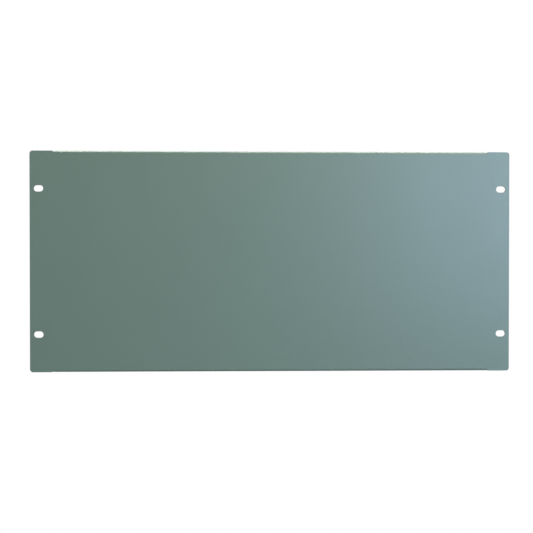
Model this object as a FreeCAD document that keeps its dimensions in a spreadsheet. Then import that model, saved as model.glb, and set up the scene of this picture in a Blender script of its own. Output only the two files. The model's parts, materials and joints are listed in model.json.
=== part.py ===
import FreeCAD, Part

# Five-unit rack blanking panel, folded from one sheet of steel.
#
# It is one piece: a flat face that ends in a screw ear at each side, with a stiffening flange
# folded back along the top and another along the bottom. The flanges stop short of the ears, so
# they pass between the rails of the rack while the backs of the ears seat on the rails. A thin
# cut at each end of a fold, run a little past the start of the bend, lets the flange turn
# without tearing the ear beside it.
#
# Frame, in millimetres: +X to the right and +Z up as seen from the front, +Y into the rack.
# The origin is the middle of the back of the face, and y = 0 is the plane that seats on the rails.

import math
import os

import Sketcher

from FreeCAD import Placement, Rotation, Vector

doc = FreeCAD.newDocument("rack_blanking_panel")

# ------------------------------------------------------------------------------------------
# Sizes
# ------------------------------------------------------------------------------------------

# Each of these can be set by itself.
DRIVING_SIZES = (
    ("panel_width", 482.6, "over both ears: the 19 inch rack"),
    ("unit_count", 5, "height in rack units"),
    ("unit_height", 44.45, "one rack unit: 1.75 inch"),
    ("stacking_gap", 0.79, "taken off the height to clear the next panel: 1/32 inch"),
    ("sheet_thickness", 1.52, "16 gauge steel"),
    ("bend_radius", 0.8, "inside the folds"),
    ("ear_width", 23.0, "from the end of the panel to the end of a flange"),
    ("ear_corner_radius", 3.0, "the four corners of the panel"),
    ("flange_depth", 16.0, "from the front of the face to the free edge of a flange"),
    ("flange_corner_radius", 2.0, "the free corners of a flange"),
    ("relief_width", 0.2, "the cut between a fold and an ear"),
    ("relief_overrun", 0.4, "how far that cut runs past the start of the bend"),
    ("relief_mouth_radius", 0.8, "the ear's corner at the mouth of that cut"),
    ("slot_inset", 8.75, "from the end of the panel to the middle of a slot"),
    ("slot_rise", 38.1, "from the edge of the outermost rack unit to a slot: its third hole"),
    ("slot_width", 6.35, "across a slot: 1/4 inch, which clears a rack screw"),
    ("slot_travel", 3.175, "how far a screw can slide along a slot: 1/8 inch"),
)

# These follow from the sizes above. Heights and depths are from the origin.
DERIVED_SIZES = (
    ("panel_height", "=unit_count * unit_height - stacking_gap", "over the ears and flanges"),
    ("flange_length", "=panel_width - 2 * ear_width", "between the rails"),
    ("notch_width", "=flange_length + 2 * relief_width", "a flange and its two relief cuts"),
    ("flange_floor", "=panel_height / 2 - sheet_thickness", "height of its inner side"),
    ("fold_line", "=flange_floor - bend_radius", "height at which the bend starts"),
    ("flange_end", "=flange_depth - sheet_thickness", "depth of its free edge"),
    ("slot_pitch", "=panel_width - 2 * slot_inset", "between the two slots of a row"),
    ("slot_row", "=unit_count * unit_height / 2 - slot_rise", "height of the upper row of slots"),
    ("slot_radius", "=slot_width / 2", "the round ends of a slot"),
)

sheet = doc.addObject("Spreadsheet::Sheet", "Sizes")
for row, (alias, content, meaning) in enumerate(DRIVING_SIZES + DERIVED_SIZES, start=1):
    sheet.set(f"A{row}", alias)
    sheet.set(f"B{row}", str(content))
    sheet.set(f"C{row}", meaning)
    sheet.setAlias(f"B{row}", alias)
doc.recompute()


def size(alias):
    """The value of a named cell, from which sketches are started near their final form."""
    return float(sheet.get(alias))


half_width = size("panel_width") / 2
half_height = size("panel_height") / 2
half_flange = size("flange_length") / 2
half_notch = size("notch_width") / 2

# ------------------------------------------------------------------------------------------
# The body, and helpers for its sketches
# ------------------------------------------------------------------------------------------

body = doc.addObject("PartDesign::Body", "blanking_panel")
body.Label = "blanking_panel"
body.Placement = Placement(Vector(0, 0, 0), Rotation())

# A sketch's own origin point and axes, as its constraints name them.
ORIGIN = (-1, 1)
LEVEL_AXIS = -1
UPRIGHT_AXIS = -2

# The points of a line or an arc, as constraints name them.
START, END, CENTRE = 1, 2, 3


def origin_plane(role):
    """One of the body's own three planes."""
    return next(plane for plane in body.Origin.OriginFeatures if plane.Role == role)


def new_sketch(name, role, lift=None):
    """An empty sketch on one of the body's planes, or lifted off it by a named size."""
    sketch = body.newObject("Sketcher::SketchObject", name)
    sketch.AttachmentSupport = [(origin_plane(role), "")]
    sketch.MapMode = "FlatFace"
    if lift:
        sketch.setExpression("AttachmentOffset.Base.z", f"Sizes.{lift}")
    return sketch


def constrain(sketch, kind, *references):
    """Adds a constraint that has no size of its own."""
    sketch.addConstraint(Sketcher.Constraint(kind, *references))


def dimension(sketch, alias, kind, *references):
    """Adds a constraint whose size is a cell of the sheet."""
    index = sketch.addConstraint(Sketcher.Constraint(kind, *references, size(alias)))
    sketch.setExpression(f"Constraints[{index}]", f"Sizes.{alias}")


def draw_outline(sketch, corners, centred=()):
    """A closed outline of level and upright sides, where side k starts at corner k.

    A centred side is a level one whose two ends mirror each other about the upright axis.
    """
    points = [Vector(x, y, 0) for x, y in corners]
    ends = points[1:] + points[:1]
    sketch.addGeometry([Part.LineSegment(*side) for side in zip(points, ends)], False)
    for side, (start, end) in enumerate(zip(points, ends)):
        constrain(sketch, "Coincident", side, END, (side + 1) % len(points), START)
        if side in centred:
            constrain(sketch, "Symmetric", side, START, side, END, UPRIGHT_AXIS)
        elif abs(end.y - start.y) < abs(end.x - start.x):
            constrain(sketch, "Horizontal", side)
        else:
            constrain(sketch, "Vertical", side)


def draw_slot(sketch, middle):
    """A level slot with round ends, free to move. Returns the arcs of its left and right ends."""
    half_travel = Vector(size("slot_travel") / 2, 0, 0)
    rise = Vector(0, size("slot_radius"), 0)
    left_end, right_end = middle - half_travel, middle + half_travel
    left_circle, right_circle = (
        Part.Circle(end, Vector(0, 0, 1), size("slot_radius")) for end in (left_end, right_end)
    )
    quarter = math.pi / 2
    lower, right, upper, left = sketch.addGeometry(
        [
            Part.LineSegment(left_end - rise, right_end - rise),
            Part.ArcOfCircle(right_circle, -quarter, quarter),
            Part.LineSegment(right_end + rise, left_end + rise),
            Part.ArcOfCircle(left_circle, quarter, 3 * quarter),
        ],
        False,
    )
    for side, following in ((lower, right), (right, upper), (upper, left), (left, lower)):
        constrain(sketch, "Tangent", side, END, following, START)
    constrain(sketch, "Horizontal", lower)
    constrain(sketch, "Equal", left, right)
    dimension(sketch, "slot_radius", "Radius", right)
    dimension(sketch, "slot_travel", "DistanceX", left, CENTRE, right, CENTRE)
    return left, right


# ------------------------------------------------------------------------------------------
# Helpers for the body's features
# ------------------------------------------------------------------------------------------

volumes = [0.0]


def finish_feature(feature, adds):
    """Makes the feature the body's tip, and stops if it did not add, or did not cut, as meant."""
    body.Tip = feature
    doc.recompute()
    change = body.Shape.Volume - volumes[-1]
    if change == 0 or (change > 0) != adds:
        raise RuntimeError(f"{feature.Name} changed the volume by {change:.3f} mm3")
    volumes.append(body.Shape.Volume)
    print(f"{feature.Name:15s}{change:+12.2f} mm3")


def add_pad(name, sketch):
    """Puts one thickness of sheet on a sketch, along the normal of its plane."""
    pad = body.newObject("PartDesign::Pad", name)
    pad.Profile = sketch
    pad.setExpression("Length", "Sizes.sheet_thickness")
    finish_feature(pad, adds=True)
    return pad


def add_pocket(name, sketch):
    """Cuts a sketch right through the face.

    The face stands on the side of the sketch that its normal points to. A pocket cuts to the
    other side unless it is reversed.
    """
    pocket = body.newObject("PartDesign::Pocket", name)
    pocket.Profile = sketch
    pocket.Type = "ThroughAll"
    pocket.Reversed = True
    finish_feature(pocket, adds=False)
    return pocket


def near(a, b, tolerance=1e-6):
    """Whether two coordinates are the same place."""
    return abs(a - b) < tolerance


def round_corners(name, alias, along, wanted, count):
    """Rounds the straight edges that run through the sheet along an axis, at wanted places."""
    sharp = body.Tip
    edges = [
        f"Edge{number}"
        for number, edge in enumerate(sharp.Shape.Edges, start=1)
        if isinstance(edge.Curve, Part.Line)
        and near(abs(edge.Curve.Direction.dot(along)), 1)
        and wanted(edge.CenterOfMass)
    ]
    if len(edges) != count:
        raise RuntimeError(f"{name} found {len(edges)} edges, not {count}")
    fillet = body.newObject("PartDesign::Fillet", name)
    fillet.Base = (sharp, edges)
    fillet.setExpression("Radius", f"Sizes.{alias}")
    finish_feature(fillet, adds=False)


# ------------------------------------------------------------------------------------------
# The face, and the slots of its upper half
# ------------------------------------------------------------------------------------------

# The normal of the XZ_Plane is -Y, so the face stands in front of the seating plane.
face_sketch = new_sketch("face_outline", "XZ_Plane")
draw_outline(
    face_sketch,
    [
        (-half_width, -half_height),
        (half_width, -half_height),
        (half_width, half_height),
        (-half_width, half_height),
    ],
)
constrain(face_sketch, "Symmetric", 0, START, 2, START, *ORIGIN)
dimension(face_sketch, "panel_width", "DistanceX", 0, START, 0, END)
dimension(face_sketch, "panel_height", "DistanceY", 1, START, 1, END)
add_pad("face", face_sketch)

slot_sketch = new_sketch("slot_outlines", "XZ_Plane")
slot_offset = Vector(size("slot_pitch") / 2, 0, 0)
row_middle = Vector(0, size("slot_row"), 0)
outer_left, inner_left = draw_slot(slot_sketch, row_middle - slot_offset)
inner_right, outer_right = draw_slot(slot_sketch, row_middle + slot_offset)
constrain(slot_sketch, "Symmetric", outer_left, CENTRE, outer_right, CENTRE, UPRIGHT_AXIS)
dimension(slot_sketch, "slot_pitch", "DistanceX", outer_left, CENTRE, inner_right, CENTRE)
dimension(slot_sketch, "slot_row", "DistanceY", *ORIGIN, inner_left, CENTRE)
slots = add_pocket("slots", slot_sketch)

# ------------------------------------------------------------------------------------------
# The upper fold: a notch between the ears, the bend and the flange
# ------------------------------------------------------------------------------------------

# The notch takes the face away above the fold line. At its two ends it runs on downwards, as
# the relief cuts, and it clears the top of the panel by far.
notch_sketch = new_sketch("notch_outline", "XZ_Plane")
fold_line = size("fold_line")
relief_foot = fold_line - size("relief_overrun")
notch_top = size("panel_height")
draw_outline(
    notch_sketch,
    [
        (-half_flange, fold_line),
        (half_flange, fold_line),
        (half_flange, relief_foot),
        (half_notch, relief_foot),
        (half_notch, notch_top),
        (-half_notch, notch_top),
        (-half_notch, relief_foot),
        (-half_flange, relief_foot),
    ],
    centred=(0, 4),
)
dimension(notch_sketch, "flange_length", "DistanceX", 0, START, 0, END)
dimension(notch_sketch, "notch_width", "DistanceX", 4, END, 4, START)
dimension(notch_sketch, "fold_line", "DistanceY", *ORIGIN, 0, START)
dimension(notch_sketch, "relief_overrun", "DistanceY", 1, END, 1, START)
dimension(notch_sketch, "relief_overrun", "DistanceY", 7, START, 7, END)
dimension(notch_sketch, "panel_height", "DistanceY", *ORIGIN, 4, START)
notch = add_pocket("notch", notch_sketch)

# The bend is the sheet's section at the fold line, turned a quarter about the bend's middle.
section_sketch = new_sketch("bend_section", "XY_Plane", lift="fold_line")
draw_outline(
    section_sketch,
    [
        (-half_flange, -size("sheet_thickness")),
        (half_flange, -size("sheet_thickness")),
        (half_flange, 0),
        (-half_flange, 0),
    ],
    centred=(0,),
)
constrain(section_sketch, "PointOnObject", 2, START, LEVEL_AXIS)
dimension(section_sketch, "flange_length", "DistanceX", 0, START, 0, END)
dimension(section_sketch, "sheet_thickness", "DistanceY", 1, START, 1, END)

bend_radius = size("bend_radius")
axis_ends = (Vector(-half_flange, bend_radius, 0), Vector(half_flange, bend_radius, 0))
bend_axis = section_sketch.addGeometry(Part.LineSegment(*axis_ends), True)
constrain(section_sketch, "Symmetric", bend_axis, START, bend_axis, END, UPRIGHT_AXIS)
dimension(section_sketch, "flange_length", "DistanceX", bend_axis, START, bend_axis, END)
dimension(section_sketch, "bend_radius", "DistanceY", *ORIGIN, bend_axis, START)

bend = body.newObject("PartDesign::Revolution", "bend")
bend.Profile = section_sketch
bend.ReferenceAxis = (section_sketch, ["Axis0"])
bend.Angle = 90
bend.Reversed = True
finish_feature(bend, adds=True)

# The flange runs straight back from the end of the bend.
flange_sketch = new_sketch("flange_outline", "XY_Plane", lift="flange_floor")
draw_outline(
    flange_sketch,
    [
        (-half_flange, bend_radius),
        (half_flange, bend_radius),
        (half_flange, size("flange_end")),
        (-half_flange, size("flange_end")),
    ],
    centred=(0,),
)
dimension(flange_sketch, "flange_length", "DistanceX", 0, START, 0, END)
dimension(flange_sketch, "bend_radius", "DistanceY", *ORIGIN, 0, START)
dimension(flange_sketch, "flange_end", "DistanceY", *ORIGIN, 2, START)
flange = add_pad("flange", flange_sketch)

# ------------------------------------------------------------------------------------------
# The lower half mirrors the upper one
# ------------------------------------------------------------------------------------------

lower_half = body.newObject("PartDesign::Mirrored", "lower_half")
lower_half.Originals = [slots, notch, bend, flange]
lower_half.MirrorPlane = (origin_plane("XY_Plane"), [""])
finish_feature(lower_half, adds=True)

# ------------------------------------------------------------------------------------------
# Rounded corners
# ------------------------------------------------------------------------------------------

THROUGH_FACE = Vector(0, 1, 0)
THROUGH_FLANGE = Vector(0, 0, 1)


def at_ear_corner(place):
    """The four corners of the whole panel."""
    return near(abs(place.x), half_width) and near(abs(place.z), half_height)


def at_relief_mouth(place):
    """The corner of each ear's edge beside a relief cut."""
    return near(abs(place.x), half_notch) and near(abs(place.z), half_height)


def at_flange_corner(place):
    """The two free corners of each flange."""
    return near(abs(place.x), half_flange) and near(place.y, size("flange_end"))


round_corners("ear_corners", "ear_corner_radius", THROUGH_FACE, at_ear_corner, count=4)
round_corners("relief_mouths", "relief_mouth_radius", THROUGH_FACE, at_relief_mouth, count=4)
round_corners("flange_corners", "flange_corner_radius", THROUGH_FLANGE, at_flange_corner, count=4)

# ------------------------------------------------------------------------------------------
# Checks, and the STEP file
# ------------------------------------------------------------------------------------------

for item in doc.Objects:
    if "Invalid" in item.State or "Error" in item.State:
        raise RuntimeError(f"{item.Name} did not recompute: {item.State}")
    if item.TypeId == "Sketcher::SketchObject" and not item.FullyConstrained:
        raise RuntimeError(f"{item.Name} is not fully constrained")

shape = body.Shape
if shape.isNull() or not shape.isValid() or len(shape.Solids) != 1:
    raise RuntimeError("the panel is not one valid solid")

os.makedirs("parts", exist_ok=True)
shape.exportStep(f"parts/{body.Label}.step")

box = shape.BoundBox
print(f"{body.Label}: {box.XLength:.3f} x {box.YLength:.3f} x {box.ZLength:.3f} mm")
print(f"volume {shape.Volume:.1f} mm3 in {len(shape.Faces)} faces")
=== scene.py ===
# %% [markdown]
# # A rack blanking panel
#
# A blanking panel closes an unused space in an equipment rack. It is one sheet of steel, cut flat,
# folded once along the top and once along the bottom, and powder coated grey-green. The packed
# model gives its exact form, with sharp edges and coarse facets. This lesson covers that form with
# a finer skin, whose edges are rounded as paint rounds them, and then makes the paint, the camera,
# the room and the lamps.

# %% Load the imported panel
import json
from math import atan2, cos, pi, radians, sin, tau

import bmesh
import bpy
import numpy as np
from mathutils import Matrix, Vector


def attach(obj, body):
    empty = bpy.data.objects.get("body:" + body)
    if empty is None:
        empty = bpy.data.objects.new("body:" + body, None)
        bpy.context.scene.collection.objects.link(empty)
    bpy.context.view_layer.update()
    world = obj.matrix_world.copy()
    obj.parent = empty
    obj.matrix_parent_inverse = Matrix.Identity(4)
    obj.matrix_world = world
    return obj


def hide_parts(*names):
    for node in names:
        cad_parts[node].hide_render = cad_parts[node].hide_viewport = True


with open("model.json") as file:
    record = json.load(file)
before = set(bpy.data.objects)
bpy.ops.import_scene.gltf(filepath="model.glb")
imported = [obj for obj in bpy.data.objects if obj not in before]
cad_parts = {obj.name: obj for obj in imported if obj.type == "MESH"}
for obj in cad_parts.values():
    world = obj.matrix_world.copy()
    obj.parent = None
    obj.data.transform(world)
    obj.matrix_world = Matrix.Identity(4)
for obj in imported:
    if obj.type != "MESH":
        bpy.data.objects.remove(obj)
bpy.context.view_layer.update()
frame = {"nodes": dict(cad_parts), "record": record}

mm = 1000  # millimetres in a metre
cad_panel = frame["nodes"]["blanking_panel"]

# %% [markdown]
# ## Sizes
#
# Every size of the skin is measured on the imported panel, so that the two can't disagree. Typing
# the sizes again would be shorter, but the skin would then stay behind when the panel changes. The
# panel is the same left to right and top to bottom, so one quarter of it is enough: x and z are
# taken without their signs. Each size is then the furthest or nearest corner point of one region.
# The flange is easy to find, because it is all that lies well behind the face.

# %% Measure the outside and the flange
corners = np.empty(len(cad_panel.data.vertices) * 3, np.float32)
cad_panel.data.vertices.foreach_get("co", corners)
across, depth, height = corners.astype(float).reshape(-1, 3).T
across, height = np.abs(across), np.abs(height)
near = 0.000002  # corner points closer than this along an axis are at one place


def at(values, place):
    """Marks the corner points that lie at one place along an axis."""
    return np.abs(values - place) < near


half_width, half_height = across.max(), height.max()
sheet = -depth.min()
flange_end = depth.max()
behind = depth > flange_end / 2
flange_half = across[behind].max()
flange_corner = flange_half - across[at(depth, flange_end)].max()
print(f"panel {2 * half_width * mm:.2f} x {2 * half_height * mm:.2f} mm, sheet {sheet * mm:.2f} mm")
print(f"flange {2 * flange_half * mm:.2f} mm long, back to {flange_end * mm:.2f} mm")

# %% [markdown]
# The fold starts on a line a little below the panel's edge. At each end of it, a narrow cut with a
# round foot, the relief cut, parts the flange from the ear, because steel tears where a folded
# stretch meets a flat one. The cut's foot, its two walls and the rounded corner at its mouth are
# found in the same way. The fold line and the cut's foot are read on the back of the face, which is
# at depth 0.

# %% Measure the fold, the relief cut and the ear
fold = at(depth, 0) & (across < flange_half + near)
fold_line = height[fold].max()
relief_foot = height[fold].min()
outer_bend = height[behind].max() - fold_line
inner_bend = outer_bend - sheet

ear_start = across[at(height, relief_foot)].max()
ear_corner = half_height - height[at(across, half_width)].max()
on_ear = across > (flange_half + ear_start) / 2
mouth_radius = across[on_ear & at(height, half_height)].min() - ear_start
relief_radius = (ear_start - flange_half) / 2
print(f"fold line {fold_line * mm:.2f} mm up, bend radius {inner_bend * mm:.2f} mm inside")
print(f"ear starts {ear_start * mm:.3f} mm out, its corner radius is {ear_corner * mm:.2f} mm")

# %% [markdown]
# The screw slots come from the record of the panel's mounts, which states them exactly: the
# distance between slots along the panel and up it, half the slot's width, and its length from end
# to end. Measured corner points would only give the ends of their facets.

# %% Read the slots from the record
mounts = {mount["name"]: mount["dims"] for mount in frame["record"]["mounts"]}
slots = mounts["rail_slots"]
slot_across, slot_up = slots["spacing_x_mm"] / 2 / mm, slots["spacing_y_mm"] / 2 / mm
slot_radius = slots["hole_r_mm"] / mm
slot_run = slots["slot_length_mm"] / 2 / mm - slot_radius
print(f"slot {2 * slot_radius * mm:.2f} mm wide, at {slot_across * mm:.2f}, {slot_up * mm:.3f} mm")

# %% [markdown]
# ## The sheet, laid flat
#
# A press brake starts from a flat sheet, and so does this mesh. A point of the flat sheet has two
# numbers: u, its distance along the panel from the middle, and v, its distance up from the middle,
# measured over the bend as if the sheet had never been folded. A third number, w, is its height in
# the sheet's thickness, from 0 at the back to the full thickness at the front.
#
# The alternative is to model the folded form at once, but then the rounded edge would need a
# separate formula on the face, round the bend and on the flange. Laid flat it is one profile
# carried along one path, and one fold at the end takes all of it along. The length of the bend is
# measured in the middle of the sheet.

# %% Lengths on the flat sheet
bend_length = (inner_bend + sheet / 2) * pi / 2
flange_start = fold_line + bend_length
free_edge = flange_start + flange_end - inner_bend
edge_round = 0.00015  # the paint draws thin over a cut edge and rounds it
print(f"flat half height {free_edge * mm:.3f} mm, of which the bend is {bend_length * mm:.3f} mm")

# %% [markdown]
# The outline of the quarter sheet is a path of straight runs and turns. It starts at the end of the
# ear, rounds the ear's two corners, dips into the relief cut, passes up beside the bend and ends
# along the free edge of the flange. It could be drawn as a Bezier curve, but then its points would
# fall where Blender puts them, and here they have to meet the rows of a grid.
#
# Each point carries the direction that faces out of the sheet there, so the outline can be drawn in
# by any distance: points minus distance times outward direction. A run is straight between two
# points. A turn goes round a centre, from one outward direction to another.

# %% Runs and turns
def steps(*stops, counts):
    """Values from stop to stop, each stretch divided evenly into its count of steps."""
    stretches = zip(stops, stops[1:], counts)
    parts = [np.linspace(low, high, count, endpoint=False) for low, high, count in stretches]
    return np.concatenate([*parts, [stops[-1]]])


def run(start, end, outward, stations):
    """Points start + s (end - start) for each station s, all with the same outward direction."""
    stations = np.asarray(stations)[:, None]
    points = np.array(start) + stations * (np.array(end) - np.array(start))
    return points, np.broadcast_to(np.array(outward, float), points.shape)


def upright(across_at, heights, outward):
    """An upright run with its points at the given heights. It faces right (1) or left (-1)."""
    points = np.stack([np.full_like(heights, across_at), heights], 1)
    return points, np.broadcast_to([outward, 0.0], points.shape)


def turn(centre, radius, start_angle, end_angle, count, hollow=False):
    """Points centre + radius (cos a, sin a). They face away from the centre, or towards it where
    the sheet lies outside the circle and the turn is hollow."""
    angles = np.linspace(start_angle, end_angle, count + 1)
    spokes = np.stack([np.cos(angles), np.sin(angles)], 1)
    return np.array(centre) + radius * spokes, -spokes if hollow else spokes


def drawn_in(piece, distance=edge_round):
    """The piece of outline moved into the sheet by a distance."""
    points, outward = piece
    return points - distance * outward


print("three stops in steps of two and one:", steps(0, 1, 4, counts=(2, 1)))

# %% [markdown]
# Now the flat sheet is divided into patches, each a grid of four-sided faces. Only the screw slot
# needs thought. A boolean cut would be quick, but it leaves long thin faces round the hole. Here a
# ring of spokes goes out from the slot's rim to a rectangle, which fits between the two edges of
# the ear. A slot is what a circle covers while it slides along a short core line, so each spoke
# starts at a point of that core and goes out at an angle: round one end of the core, along it at
# a right angle, round the other end, and back.

# %% The spokes round a slot
ring_half_height = 0.010
outer_core, inner_core = slot_across + slot_run, slot_across - slot_run
outer_angle = atan2(ring_half_height, half_width - outer_core)
inner_angle = atan2(ring_half_height, inner_core - ear_start)

side_steps, fan_steps, core_steps = 12, 10, 4
half_turn = (side_steps, fan_steps, core_steps, fan_steps)
spoke_angles = steps(
    -outer_angle, outer_angle, pi / 2, pi / 2, pi - inner_angle,
    pi + inner_angle, 1.5 * pi, 1.5 * pi, tau - outer_angle, counts=half_turn * 2,
)
core_across = steps(
    outer_core, outer_core, outer_core, inner_core, inner_core,
    inner_core, inner_core, outer_core, outer_core, counts=half_turn * 2,
)
core = np.stack([core_across, np.full_like(core_across, slot_up)], 1)
spokes = np.stack([np.cos(spoke_angles), np.sin(spoke_angles)], 1)
slot_rim = (core + slot_radius * spokes, -spokes)
print(f"{len(spokes) - 1} spokes in the ring round a slot")

# %% [markdown]
# A spoke ends on one of the ear's two edges or on the rectangle's top or bottom, whichever it
# meets first. The distance along it to either is the gap there divided by the part of the spoke's
# direction that points that way, so the larger of the two quotients decides. The ring's four sides
# are then named, because the patches beside it have to use the same points.

# %% The rectangle where the spokes end
to_edge = np.where(spokes[:, 0] > 0, half_width - outer_core, inner_core - ear_start)
closeness = np.abs(spokes) / np.stack([to_edge, np.full_like(to_edge, ring_half_height)], 1)
ring = core + spokes / closeness.max(1, keepdims=True)

span = fan_steps + core_steps + fan_steps
ring_outer = slice(0, side_steps + 1)
ring_top = slice(side_steps, side_steps + span + 1)
ring_inner = slice(side_steps + span, 2 * side_steps + span + 1)
ring_bottom = slice(2 * side_steps + span, 2 * side_steps + 2 * span + 1)
print(f"rectangle {np.ptp(ring[:, 0]) * mm:.2f} x {np.ptp(ring[:, 1]) * mm:.2f} mm")

# %% [markdown]
# The levels of the grid's rows follow. Below the ring and above it they are even, and beside it
# they are where its spokes end. A row that starts on the ear's outer edge slants to reach the
# inner edge, which is a little longer, and one row has to arrive at the relief cut's middle. The
# bend gets many rows, so that it reads as round in the closest view.

# %% Rows of the grid
rows_below, rows_to_cut, rows_past_cut = 8, 8, 3
cut_rows, bend_rows, flange_rows = 1, 16, 5
ring_low, ring_high = slot_up - ring_half_height, slot_up + ring_half_height
relief_middle = relief_foot + relief_radius
inner_top = half_height - mouth_radius
below = np.linspace(0, 1, rows_below + 1)
arrival = (relief_middle - ring_high) / (inner_top - ring_high)
above = steps(0, arrival, 1, counts=(rows_to_cut, rows_past_cut))


def levels(ring_levels, top):
    """Heights of the rows on one edge of the ear: below the ring, along it and above it."""
    return np.concatenate(
        [below[:-1] * ring_low, np.sort(ring_levels)[:-1], ring_high + above * (top - ring_high)]
    )


outer_levels = levels(ring[ring_outer, 1], half_height - ear_corner)
inner_levels = levels(ring[ring_inner, 1], inner_top)
seam_levels = inner_levels[inner_levels < relief_middle + near]
cut_levels = inner_levels[inner_levels > relief_middle - near][::-1]
fold_levels = steps(
    relief_middle, fold_line, flange_start, free_edge - flange_corner,
    counts=(cut_rows, bend_rows, flange_rows),
)
print(f"{len(outer_levels)} rows on the ear, {len(seam_levels)} reach the face")
print(f"{len(fold_levels)} rows from the relief cut's middle to the flange's corner")

# %% [markdown]
# With the rows known, the outline can be drawn, piece by piece in the order of the path. The ear's
# top edge, with the rounded corners at its ends, has as many points as the top of the ring below
# it, because the patch between the two needs pairs of points.

# %% The pieces of the outline
ear_turn_steps, mouth_turn_steps, cut_turn_steps, flange_turn_steps = 8, 4, 8, 6
flange_columns = 24
columns = np.linspace(0, 1, flange_columns + 1)
ear_end = upright(half_width, outer_levels, 1.0)
ear_centre = (half_width - ear_corner, half_height - ear_corner)
ear_round = turn(ear_centre, ear_corner, 0, pi / 2, ear_turn_steps)
ear_top = run(
    (half_width - ear_corner, half_height), (ear_start + mouth_radius, half_height), (0, 1),
    np.linspace(0, 1, span - ear_turn_steps - mouth_turn_steps + 1),
)
mouth_centre = (ear_start + mouth_radius, inner_top)
mouth_round = turn(mouth_centre, mouth_radius, pi / 2, pi, mouth_turn_steps)
cut_outer = upright(ear_start, cut_levels, -1.0)
cut_centre = (flange_half + relief_radius, relief_middle)
cut_foot = turn(cut_centre, relief_radius, 0, -pi, cut_turn_steps, hollow=True)
cut_inner = upright(flange_half, fold_levels, 1.0)
flange_centre = (flange_half - flange_corner, free_edge - flange_corner)
flange_round = turn(flange_centre, flange_corner, 0, pi / 2, flange_turn_steps)
flange_edge = run((flange_half - flange_corner, free_edge), (0, free_edge), (0, 1), columns)
print(f"ear's end {len(ear_end[0])} points, foot of the cut {len(cut_foot[0])} points")

# %% [markdown]
# Each piece starts at the point where the last one ended. Joining them drops that point once, so
# that the path has no face of zero width. The path over the ear's top, from end to cut, is kept by
# itself too, because the patch below it ends there.

# %% Join the pieces into one path
def joined(*pieces):
    """One path from pieces that start where the last one ended."""
    first, *others = pieces
    kept = [first] + [(points[1:], outward[1:]) for points, outward in others]
    return tuple(np.concatenate(parts) for parts in zip(*kept))


ear_edge = joined(ear_round, ear_top, mouth_round)
outline = joined(
    ear_end, ear_edge, cut_outer, cut_foot, cut_inner, flange_round, flange_edge
)
print(f"{len(outline[0])} points round the quarter sheet")

# %% [markdown]
# A patch is ruled between two curves with as many points as each other: it takes a share of the
# way along straight lines from one curve to the other. Five such patches cover a quarter of
# one side of the sheet. Where a curve lies on the sheet's edge it is drawn in by the rounding, so
# that the patch stops where the rounded edge takes over. A curve times (1, 0) is laid down on the
# panel's level middle line, and a curve times (0, 1) on the upright one, where the quarter ends.

# %% Patches of one side
def ruled(start, end, shares):
    """Grid with rows start + share (end - start)."""
    shares = np.asarray(shares)[None, :, None]
    return start[:, None] + shares * (end - start)[:, None]


ring_rows = 6
ring[ring_outer, 0] -= edge_round
ring[ring_inner, 0] += edge_round
ring[-1] = ring[0]
foot = drawn_in(cut_foot)
side_patches = {
    "round the slot": ruled(drawn_in(slot_rim), ring, np.linspace(0, 1, ring_rows + 1)),
    "ear above it": ruled(ring[ring_top], drawn_in(ear_edge), above),
    "ear below it": ruled(ring[ring_bottom] * (1, 0), ring[ring_bottom], below),
    "under the relief cut": ruled(foot * (1, 0), foot, seam_levels / relief_middle),
}
seam = np.stack([np.full_like(seam_levels, flange_half - edge_round), seam_levels], 1)
fold_end = np.concatenate([seam, drawn_in(joined(cut_inner, flange_round))[1:]])
side_patches["face and flange"] = ruled(fold_end * (0, 1), fold_end, columns)
for name, patch in side_patches.items():
    print(f"{name:22s}{patch.shape[0]:4d} x {patch.shape[1]} points")

# %% [markdown]
# The cut edge of the sheet gets its rounded section here, once, for the whole outline and for the
# slot: a quarter circle from the front to the edge, the straight wall of the edge, and a quarter
# circle to the back. The section is carried along the path, drawn in where it curves. Blender's
# Bevel modifier rounds edges too, but it needs a mesh with sharp edges first, and this one never
# has any.

# %% The section of the edge
round_points = 6
edge_angles = np.concatenate(
    [np.linspace(0, pi / 2, round_points), np.linspace(pi / 2, pi, round_points)]
)
front_half = np.arange(len(edge_angles)) < round_points
section_in = edge_round * (1 - np.sin(edge_angles))
section_up = edge_round * np.cos(edge_angles) + np.where(front_half, sheet - edge_round, edge_round)


def side_grid(patch, up, facing):
    """A patch at one level of the thickness, facing the front (1) or the back (-1)."""
    level = np.full(patch.shape[:2] + (1,), up)
    facings = np.broadcast_to([0.0, 0.0, facing], patch.shape[:2] + (3,))
    return np.concatenate([patch, level], 2), facings


def edge_grid(path):
    """The edge's section carried along a path: path - in * outward, at height up. It faces
    sin(angle) outward and cos(angle) up."""
    points, outward = path
    place = points[:, None] - section_in[None, :, None] * outward[:, None]
    up = np.broadcast_to(section_up, place.shape[:2])[..., None]
    sideways = outward[:, None] * np.sin(edge_angles)[None, :, None]
    upward = np.broadcast_to(np.cos(edge_angles), place.shape[:2])[..., None]
    return np.concatenate([place, up], 2), np.concatenate([sideways, upward], 2)


flat_grids = [side_grid(patch, sheet, 1.0) for patch in side_patches.values()]
flat_grids += [side_grid(patch, 0.0, -1.0) for patch in side_patches.values()]
flat_grids += [edge_grid(outline), edge_grid(slot_rim)]
print(f"{sum(points[..., 0].size for points, _ in flat_grids)} points on the flat quarter")

# %% [markdown]
# ## The fold
#
# Folding leaves the sheet alone up to the fold line, wraps it round the bend's centre line
# through a right angle, and runs it straight back from there. A layer at height w in the
# thickness turns on a circle of the inside radius plus w. Blender has a modifier that bends, but it
# is set by a pivot, an angle and limits, and a formula with the sheet's own sizes is more exact.

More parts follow.
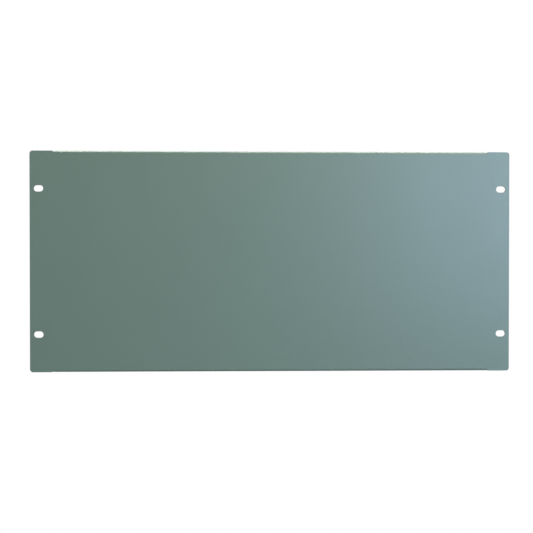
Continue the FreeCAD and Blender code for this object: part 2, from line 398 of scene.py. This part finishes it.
# %% The fold as a formula
def folded(points, facings):
    """Places flat points (u, v, w) and their directions in the panel's frame.

    The fold's angle grows from 0 to a right angle along the bend. With r = inner radius + w:
    x = u, y = inner radius - r cos(angle) + the length past the bend, and
    z = min(v, fold line) + r sin(angle). Directions along v and w turn by the same angle.
    The ears, which are further out than the relief cut, aren't folded.
    """
    u, v, w = np.moveaxis(points, -1, 0)
    above_fold = np.where(u < flange_half + relief_radius, np.maximum(v - fold_line, 0), 0)
    angle = np.minimum(above_fold / bend_length, 1) * pi / 2
    radius = inner_bend + w
    y = inner_bend - radius * np.cos(angle) + np.maximum(above_fold - bend_length, 0)
    z = v - above_fold + radius * np.sin(angle)
    along_u, along_v, along_w = np.moveaxis(facings, -1, 0)
    facing_y = along_v * np.sin(angle) - along_w * np.cos(angle)
    facing_z = along_v * np.cos(angle) + along_w * np.sin(angle)
    return np.stack([u, y, z], -1), np.stack([along_u, facing_y, facing_z], -1)


folded_grids = [folded(*grid) for grid in flat_grids]
deepest = max(points[..., 1].max() for points, _ in folded_grids)
print(f"folded, the quarter reaches back to {deepest * mm:.2f} mm")

# %% [markdown]
# Each grid is used four times, once for each quarter: as it is, and mirrored left to right, top to
# bottom and both. Two Mirror modifiers would do the same. Here a mirror is one multiplication, and
# the merge that the patches need anyway closes the seams between the quarters too.
#
# A mirror turns faces inside out, and Blender shades such a face from the wrong side. So the
# corners of a grid's faces are listed in the order whose cross product agrees with the direction
# that the grid's points already carry.

# %% Faces for all four quarters
def quads(points, facings):
    """Corner numbers of a grid's faces, turned the way that the grid's points face."""
    numbers = np.arange(points.shape[0] * points.shape[1]).reshape(points.shape[:2])
    faces = np.stack(
        [numbers[:-1, :-1], numbers[1:, :-1], numbers[1:, 1:], numbers[:-1, 1:]], -1
    ).reshape(-1, 4)
    first, second, third, fourth = points.reshape(-1, 3)[faces.T]
    across_faces = np.cross(third - first, fourth - second)
    wanted = facings.reshape(-1, 3)[faces[:, 0]]
    agrees = (across_faces * wanted).sum() > 0
    return faces if agrees else faces[:, ::-1]


quarters = ((1, 1, 1), (-1, 1, 1), (1, 1, -1), (-1, 1, -1))
all_points, all_facings, all_faces, count = [], [], [], 0
for points, facings in folded_grids:
    for mirror in quarters:
        copy, copy_facings = points * mirror, facings * mirror
        all_faces.append(quads(copy, copy_facings) + count)
        all_points.append(copy.reshape(-1, 3))
        all_facings.append(copy_facings.reshape(-1, 3))
        count += len(all_points[-1])
print(f"{count} points in {len(all_points)} grids")

# %% [markdown]
# Neighbouring grids repeat the points of the line where they meet. Merging those makes the skin
# closed, as the real sheet is. The direction that each point faces is stored on it before the
# merge and becomes its normal after it. That keeps the flat sides flat right up to a rounded
# edge, where averaged normals would make a false curve.

# %% Merge the grids into one closed skin
merge_reach = 0.000001
mesh = bpy.data.meshes.new("painted_sheet")
mesh.from_pydata(np.concatenate(all_points), [], np.concatenate(all_faces))
facing_layer = mesh.attributes.new("facing", "FLOAT_VECTOR", "POINT")
facing_layer.data.foreach_set("vector", np.concatenate(all_facings).astype(np.float32).ravel())

skin = bmesh.new()
skin.from_mesh(mesh)
bmesh.ops.remove_doubles(skin, verts=skin.verts, dist=merge_reach)
open_edges = sum(not edge.is_manifold for edge in skin.edges)
skin_volume = skin.calc_volume(signed=True)
skin.to_mesh(mesh)
skin.free()
print(f"skin: {len(mesh.vertices)} points, {len(mesh.polygons)} faces, {open_edges} open edges")
print(f"volume {skin_volume * mm**3:.1f} mm3")

# %% Give the skin its normals and make it an object
facings = np.empty(len(mesh.vertices) * 3, np.float32)
mesh.attributes["facing"].data.foreach_get("vector", facings)
mesh.attributes.remove(mesh.attributes["facing"])
mesh.shade_smooth()
mesh.normals_split_custom_set_from_vertices(facings.reshape(-1, 3))
painted_sheet = bpy.data.objects.new("painted_sheet", mesh)
bpy.context.scene.collection.objects.link(painted_sheet)
print(f"object {painted_sheet.name} at {tuple(painted_sheet.location)}")

# %% [markdown]
# ## The powder coat
#
# A blanking panel is sprayed with dry paint powder and baked, so one skin of plastic less than a
# tenth of a millimetre thick covers the whole sheet, cut edges included. One flat colour would look
# like a drawing of it. The real coat drifts a little in shade, has the long low waves of an orange's
# peel, and close up it has a fine grit.
#
# All of that is built from noise, in Blender's shader nodes. Nodes are usually placed by hand. In
# a script, formulas are easier to read, so one small class holds a socket of the tree, turns + and
# * into Math nodes, and adds any other node with one method.

# %% A way to write nodes as formulas
class Wire:
    """A socket in a node tree. Sums and products of wires and numbers add Math nodes."""

    def __init__(self, tree, socket=None):
        self.tree, self.socket = tree, socket

    def node(self, kind, settings, sockets, output=0):
        """Adds a node: its settings first, then a value or a link for each socket named."""
        node = self.tree.nodes.new(kind)
        for setting, value in settings.items():
            setattr(node, setting, value)
        for socket, value in sockets.items():
            if isinstance(value, Wire):
                self.tree.links.new(value.socket, node.inputs[socket])
            else:
                node.inputs[socket].default_value = value
        return Wire(self.tree, node.outputs[output] if node.outputs else None)

    def __add__(self, other):
        return self.node("ShaderNodeMath", {"operation": "ADD"}, {0: self, 1: other})

    def __mul__(self, other):
        return self.node("ShaderNodeMath", {"operation": "MULTIPLY"}, {0: self, 1: other})

    __radd__ = __add__
    __rmul__ = __mul__


print("wires and numbers can now be added and multiplied")

# %% [markdown]
# A new material comes with a Principled shader already wired up. Starting from an empty tree
# instead means that every node in it is one that this lesson has put there.

# %% Start the coat's material
def empty_tree(owner):
    """The node tree of a material or a world, with nothing in it yet."""
    owner.use_nodes = True
    owner.node_tree.nodes.clear()
    return Wire(owner.node_tree)


coat_material = bpy.data.materials.new("green_grey_powder_coat")
coat = empty_tree(coat_material)
print(f"{coat_material.name} has {len(coat.tree.nodes)} nodes")

# %% [markdown]
# Noise needs a place to be read at. Object coordinates are the panel's own metres, so a grain has
# a real size and stays where it is when the camera moves. Generated coordinates would run from 0 to
# 1 along each side of the panel, and draw each grain out thirty times as long as it is deep.
#
# Three noises are enough: the drift of the shade over some 60 mm, the peel with waves of 3 mm, and
# the grit with grains of 0.6 mm. The colour is the green-grey of the coat, which the drift and the
# grit make up to 4% darker or lighter. A colour goes through a Mix node, because a Math node would
# turn it grey.

# %% The coat's noise and its shade
place = coat.node("ShaderNodeTexCoord", {}, {}, output="Object")


def noise(grain, detail):
    """Noise from 0 to 1 whose grains are about as wide as grain, in metres."""
    sockets = {"Vector": place, "Scale": 1 / grain, "Detail": detail}
    return coat.node("ShaderNodeTexNoise", {}, sockets)


drift = noise(grain=0.060, detail=2.0)
peel = noise(grain=0.0030, detail=1.0)
grit = noise(grain=0.0006, detail=3.0)

mix_factor, mix_first, mix_second, mixed_colour = 0, 6, 7, 2  # a Mix node's sockets for colours
coat_colour = np.array([0.121, 0.178, 0.142])
shade_spread = 0.04
drift_share, grit_share = 0.6, 0.4
darker, lighter = coat_colour * (1 - shade_spread), coat_colour * (1 + shade_spread)
lightness = drift_share * drift + grit_share * grit
shade = coat.node(
    "ShaderNodeMix", {"data_type": "RGBA"},
    {mix_factor: lightness, mix_first: (*darker, 1), mix_second: (*lighter, 1)},
    output=mixed_colour,
)
print(f"linear colour {coat_colour}, from {darker.round(3)} to {lighter.round(3)}")

# %% [markdown]
# The relief of the coat is far too fine for a mesh, so a Bump node tilts the shading instead. Its
# distance is the height of the waves in metres, up to 50 micrometres for the peel and a little
# more for the grit. From arm's length the two melt into an even satin, and in a close view the
# light breaks up on them. Satin lies between gloss and matt, at a roughness a little above 0.4,
# and the drift and the grit make it slightly uneven, as baking does. Steel lies under the paint but
# nothing of it shows, so Metallic stays at 0.

# %% The coat's relief and gloss
peel_height, grit_height = 0.000050, 0.000055
peeled = coat.node(
    "ShaderNodeBump", {}, {"Strength": 1.0, "Distance": peel_height, "Height": peel}
)
gritted = coat.node(
    "ShaderNodeBump", {},
    {"Strength": 1.0, "Distance": grit_height, "Height": grit, "Normal": peeled},
)
least_rough, drift_rough, grit_rough = 0.365, 0.08, 0.04
satin = least_rough + drift_rough * drift + grit_rough * grit
coat_surface = coat.node(
    "ShaderNodeBsdfPrincipled", {}, {"Base Color": shade, "Roughness": satin, "Normal": gritted}
)
coat.node("ShaderNodeOutputMaterial", {}, {"Surface": coat_surface})
print(f"{coat_material.name} now has {len(coat.tree.nodes)} nodes")

# %% [markdown]
# Last, the skin takes the coat and is tied to the imported model. It rides on the panel's one body,
# and it stands for the imported panel, which is then hidden.

# %% Put the coat on the panel
painted_sheet.data.materials.append(coat_material)
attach(painted_sheet, "root")
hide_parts("blanking_panel")
print(f"{painted_sheet.name} is coated and rides on root")

# %% [markdown]
# ## The camera
#
# A panel like this is shown almost square on, so that its outline and its four slots can be read
# off like a drawing. The camera stands 0.75 m in front, a degree and a half to the left of the
# middle and half a degree above it, with a lens near 50 mm. It aims a few millimetres left of
# the middle and below it. The place is worked out on a sphere round that aim: an angle to the right,
# an angle up, and a distance. The same function then places the lamps, round the panel's middle.
# The Standard view transform shows a colour as it is written, where others would soften it.

# %% Angles into places
def round_the_panel(azimuth, elevation, distance):
    """A place given by its angle to the right of straight in front, its angle up, both in
    degrees, and its distance from the middle."""
    azimuth, elevation = radians(azimuth), radians(elevation)
    level_part = distance * cos(elevation)
    return Vector(
        (level_part * sin(azimuth), -level_part * cos(azimuth), distance * sin(elevation))
    )


def turned_to_face(place):
    """The turn of a camera or lamp at this place that makes it look back at the middle."""
    return place.to_track_quat("Z", "Y").to_euler()


in_front = round_the_panel(azimuth=0, elevation=0, distance=1)
print("straight in front, at a metre:", tuple(in_front))

# %% The camera
camera_aim = Vector((-0.00488, 0, -0.00503))
camera_offset = round_the_panel(azimuth=-1.486, elevation=0.520, distance=0.750)
camera = bpy.data.objects.new("camera", bpy.data.cameras.new("camera"))
camera.data.lens = 50.25  # millimetres
camera.location = camera_aim + camera_offset
camera.rotation_euler = turned_to_face(camera_offset)
bpy.context.scene.collection.objects.link(camera)
bpy.context.scene.camera = camera
bpy.context.scene.view_settings.view_transform = "Standard"
print(f"camera at {tuple(round(c, 4) for c in camera.location)}")

# %% [markdown]
# ## The white studio
#
# The panel stands in front of pure white. A white wall bright enough to look pure white would also
# flood the paint with light from every side and wash out its shade. Blender can tell the two apart:
# the Light Path node says what kind of ray is asking. Rays from the camera, and rays off or
# through shiny things, get the full white. Rays that gather light for a matt surface get only a
# seventh of it, a soft fill for the sides that no lamp reaches.

# %% White to look at, softer as light
def seen_directly(tree):
    """1 for rays from the camera, or off or through shiny things, and 0 for the others."""
    from_camera, off_gloss, through_glass = (
        tree.node("ShaderNodeLightPath", {}, {}, output=f"Is {kind} Ray")
        for kind in ("Camera", "Glossy", "Transmission")
    )
    return from_camera + off_gloss + through_glass


fill_level = 0.14
white = (1, 1, 1, 1)
world = bpy.data.worlds.new("white_studio")
sky = empty_tree(world)
sky_level = fill_level + (1 - fill_level) * seen_directly(sky)
sky_light = sky.node("ShaderNodeBackground", {}, {"Color": white, "Strength": sky_level})
sky.node("ShaderNodeOutputWorld", {}, {"Surface": sky_light})
bpy.context.scene.world = world
print(f"white at 1 to look at, {fill_level} as light")

# %% [markdown]
# The floor is a plain sheet of pale paper, far larger than the view. A blanking panel hangs in its
# rack and stands on nothing, so the floor lies three quarters of a metre below it. That is low
# enough to stay out of the straight view, and to lie under a camera that looks up at the panel.
# One flat face is all that it needs.

# %% The floor
floor_drop = 0.75
floor_reach = 6.0
floor_level = -half_height - floor_drop
floor_corners = np.array([(-1, -1, 0), (1, -1, 0), (1, 1, 0), (-1, 1, 0)]) * floor_reach
floor_mesh = bpy.data.meshes.new("studio_floor")
floor_mesh.from_pydata(floor_corners + (0, 0, floor_level), [], [(0, 1, 2, 3)])
studio_floor = bpy.data.objects.new("studio_floor", floor_mesh)
bpy.context.scene.collection.objects.link(studio_floor)
print(f"floor {floor_drop * mm:.0f} mm below the panel, {2 * floor_reach:.0f} m wide")

# %% [markdown]
# Lit paper alone would end in a grey horizon against the white. So the paper is mixed with a white
# glow, which only the rays of the white above can see: two thirds of glow under the panel, where
# the rest is paper that takes the panel's soft shadow, and all glow from 1.3 m out, where the
# floor melts into the white. How far out a point is comes from its own coordinates, with the
# height taken away. A Map Range node turns that distance into a smooth step from 0 to 1.

# %% The floor's paper
near_radius, far_radius = 0.6, 1.3
near_glow = 0.67
paper_colour = (0.38, 0.35, 0.31, 1)
paper_material = bpy.data.materials.new("pale_floor_paper")
paper = empty_tree(paper_material)
spot = paper.node("ShaderNodeTexCoord", {}, {}, output="Object")
level_spot = paper.node(
    "ShaderNodeVectorMath", {"operation": "MULTIPLY"}, {0: spot, 1: (1, 1, 0)}
)
from_middle = paper.node(
    "ShaderNodeVectorMath", {"operation": "LENGTH"}, {0: level_spot}, output="Value"
)
far_out = paper.node(
    "ShaderNodeMapRange", {"interpolation_type": "SMOOTHSTEP"},
    {"Value": from_middle, "From Min": near_radius, "From Max": far_radius},
)
glow_share = seen_directly(paper) * (near_glow + (1 - near_glow) * far_out)
plain_paper = paper.node("ShaderNodeBsdfDiffuse", {}, {"Color": paper_colour})
glow = paper.node("ShaderNodeEmission", {}, {"Color": white, "Strength": 1.0})
glowing_paper = paper.node(
    "ShaderNodeMixShader", {}, {0: glow_share, 1: plain_paper, 2: glow}
)
paper.node("ShaderNodeOutputMaterial", {}, {"Surface": glowing_paper})
floor_mesh.materials.append(paper_material)
print(f"glow from {near_glow:.0%} under the panel to 100% at {far_radius:.1f} m")

# %% [markdown]
# ## The lamps
#
# Soft light comes from lamps that are large for their distance. A point lamp or a sun would draw
# hard shadows and small hot spots, so each lamp is a flat panel of light, an area lamp. It is
# weaker towards its sides, as a real softbox is. No lamp is seen by the camera, only its light is.

# %% A softbox
def softbox(name, place, size, watts, colour):
    """A flat lamp of one size in metres, at a place, turned to face the panel's middle."""
    lamp = bpy.data.lights.new(name, "AREA")
    lamp.shape = "RECTANGLE"
    lamp.size, lamp.size_y = size
    lamp.energy, lamp.color = watts, colour
    holder = bpy.data.objects.new(name, lamp)
    holder.location = place
    holder.rotation_euler = turned_to_face(holder.location)
    holder.visible_camera = False
    bpy.context.scene.collection.objects.link(holder)
    return holder


lamp_distance = 1.8
print(f"softboxes stand {lamp_distance} m off")

# %% [markdown]
# Two softboxes light the face. The window, cool and low on the right, makes the paint blue-grey
# there and leaves it greener towards the left. The warmer room lamp, above it, evens out the
# rest. Their watts are such that the paint looks about as its colour is written on the left, and
# lighter towards the window.

# %% The window and the room lamp
softbox(
    "window", round_the_panel(azimuth=30, elevation=8.5, distance=lamp_distance),
    size=(0.8, 0.8), watts=29.6, colour=(0.51, 0.67, 0.99),
)
softbox(
    "room lamp", round_the_panel(azimuth=20, elevation=45, distance=lamp_distance),
    size=(1.2, 1.2), watts=18.9, colour=(1.0, 0.93, 0.51),
)
print("the face has its light")

# %% [markdown]
# The folds run along the panel, and only a light that runs along them too can draw their line. A
# long strip hangs level above the panel, with no turn, because an area lamp without one points
# straight down. It hangs a little further back than the face, which hardly gets any of its light.
# As light for the paint's colour it would bleach the flange's top, so it is left to the gloss
# alone, and it draws the pale line of the upper fold.

# %% The strip above the fold
strip = softbox(
    "strip", place=(0.12, 0.06, 0.5),
    size=(1.3, 0.14), watts=12.2, colour=(0.92, 1.0, 0.92),
)
strip.rotation_euler = (0, 0, 0)
strip.visible_diffuse = False
print(f"strip {strip.data.size:.1f} m long, {strip.location.z - half_height:.2f} m above the panel")

# %% [markdown]
# The back lamp lights the side that faces into the rack, for a look from behind. It is the other
# way round: it lights the paint and leaves out the gloss, because in some views its reflection
# would lie right across the flange.

# %% The lamp behind
back = softbox(
    "back", round_the_panel(azimuth=215, elevation=35, distance=lamp_distance),
    size=(1.2, 1.2), watts=27.0, colour=(1.0, 1.0, 1.0),
)
back.visible_glossy = False
lamps = [thing.name for thing in bpy.data.objects if thing.type == "LIGHT"]
print("lamps:", ", ".join(lamps))
